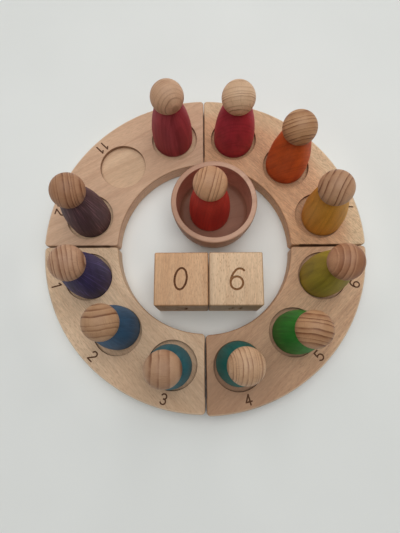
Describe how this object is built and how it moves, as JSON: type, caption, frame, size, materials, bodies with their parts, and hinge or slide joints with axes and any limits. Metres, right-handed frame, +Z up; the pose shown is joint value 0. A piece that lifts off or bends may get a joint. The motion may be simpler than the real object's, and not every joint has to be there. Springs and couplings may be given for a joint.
{
  "type": "perpetual calendar",
  "caption": "Wooden perpetual calendar: flat beech ring in quarters with round recesses for turned peg figures, a bowl for the figure of the month and engraved date cubes.",
  "frame": {"origin": "centre of the ring, on the table it lies on", "axes": "+Z up, -Y towards the reader, the seams between the quarters lie along X and Y"},
  "size_m": [0.2595, 0.2613, 0.0862],
  "materials": {
    "beech_ring": "waxed, satin, engraving burnt dark brown",
    "beech_bowl": "turned, waxed, satin",
    "beech_cube": "waxed, satin, engraving burnt dark brown",
    "dyed_january": "turned beech, dyed body and natural waxed head",
    "dyed_february": "turned beech, dyed body and natural waxed head",
    "dyed_march": "turned beech, dyed body and natural waxed head",
    "dyed_april": "turned beech, dyed body and natural waxed head",
    "dyed_may": "turned beech, dyed body and natural waxed head",
    "dyed_june": "turned beech, dyed body and natural waxed head",
    "dyed_july": "turned beech, dyed body and natural waxed head",
    "dyed_august": "turned beech, dyed body and natural waxed head",
    "dyed_september": "turned beech, dyed body and natural waxed head",
    "dyed_october": "turned beech, dyed body and natural waxed head",
    "dyed_november": "turned beech, dyed body and natural waxed head",
    "dyed_december": "turned beech, dyed body and natural waxed head"
  },
  "bodies": {
    "quarter_january_march": {"quarter_january_march": "beech_ring"},
    "quarter_april_june": {"quarter_april_june": "beech_ring"},
    "quarter_july_september": {"quarter_july_september": "beech_ring"},
    "quarter_october_december": {"quarter_october_december": "beech_ring"},
    "figure_january": {"figure_january": "dyed_january"},
    "figure_february": {"figure_february": "dyed_february"},
    "figure_march": {"figure_march": "dyed_march"},
    "figure_april": {"figure_april": "dyed_april"},
    "figure_may": {"figure_may": "dyed_may"},
    "figure_june": {"figure_june": "dyed_june"},
    "figure_july": {"figure_july": "dyed_july"},
    "figure_august": {"figure_august": "dyed_august"},
    "figure_september": {"figure_september": "dyed_september"},
    "figure_october": {"figure_october": "dyed_october"},
    "figure_november": {"figure_november": "dyed_november"},
    "figure_december": {"figure_december": "dyed_december"},
    "month_bowl": {"month_bowl": "beech_bowl"},
    "date_cube_left": {"date_cube_left": "beech_cube"},
    "date_cube_right": {"date_cube_right": "beech_cube"}
  },
  "joints": [
    {"name": "quarter_april_june_slide", "type": "slide", "parent": "quarter_january_march", "child": "quarter_april_june", "axis": [0.7071, -0.7071, 0], "range_m": [0, 0.06]},
    {"name": "quarter_july_september_slide", "type": "slide", "parent": "quarter_january_march", "child": "quarter_july_september", "axis": [0.7071, 0.7071, 0], "range_m": [0, 0.06]},
    {"name": "quarter_october_december_slide", "type": "slide", "parent": "quarter_january_march", "child": "quarter_october_december", "axis": [-0.7071, 0.7071, 0], "range_m": [0, 0.06]},
    {"name": "figure_january_lift", "type": "slide", "parent": "quarter_january_march", "child": "figure_january", "axis": [0, 0, 1], "range_m": [0, 0.1]},
    {"name": "figure_february_lift", "type": "slide", "parent": "quarter_january_march", "child": "figure_february", "axis": [0, 0, 1], "range_m": [0, 0.1]},
    {"name": "figure_march_lift", "type": "slide", "parent": "quarter_january_march", "child": "figure_march", "axis": [0, 0, 1], "range_m": [0, 0.1]},
    {"name": "figure_april_lift", "type": "slide", "parent": "quarter_april_june", "child": "figure_april", "axis": [0, 0, 1], "range_m": [0, 0.1]},
    {"name": "figure_may_lift", "type": "slide", "parent": "quarter_april_june", "child": "figure_may", "axis": [0, 0, 1], "range_m": [0, 0.1]},
    {"name": "figure_june_lift", "type": "slide", "parent": "quarter_april_june", "child": "figure_june", "axis": [0, 0, 1], "range_m": [0, 0.1]},
    {"name": "figure_july_lift", "type": "slide", "parent": "quarter_july_september", "child": "figure_july", "axis": [0, 0, 1], "range_m": [0, 0.1]},
    {"name": "figure_august_lift", "type": "slide", "parent": "quarter_july_september", "child": "figure_august", "axis": [0, 0, 1], "range_m": [0, 0.1]},
    {"name": "figure_september_lift", "type": "slide", "parent": "quarter_july_september", "child": "figure_september", "axis": [0, 0, 1], "range_m": [0, 0.1]},
    {"name": "figure_october_lift", "type": "slide", "parent": "quarter_october_december", "child": "figure_october", "axis": [0, 0, 1], "range_m": [0, 0.1]},
    {"name": "figure_november_lift", "type": "slide", "parent": "month_bowl", "child": "figure_november", "axis": [0, 0, 1], "range_m": [0, 0.1]},
    {"name": "figure_december_lift", "type": "slide", "parent": "quarter_october_december", "child": "figure_december", "axis": [0, 0, 1], "range_m": [0, 0.1]},
    {"name": "month_bowl_lift", "type": "slide", "parent": "quarter_january_march", "child": "month_bowl", "axis": [0, 0, 1], "range_m": [0, 0.1]},
    {"name": "date_cube_left_lift", "type": "slide", "parent": "quarter_january_march", "child": "date_cube_left", "axis": [0, 0, 1], "range_m": [0, 0.1]},
    {"name": "date_cube_right_lift", "type": "slide", "parent": "quarter_january_march", "child": "date_cube_right", "axis": [0, 0, 1], "range_m": [0, 0.1]}
  ]
}
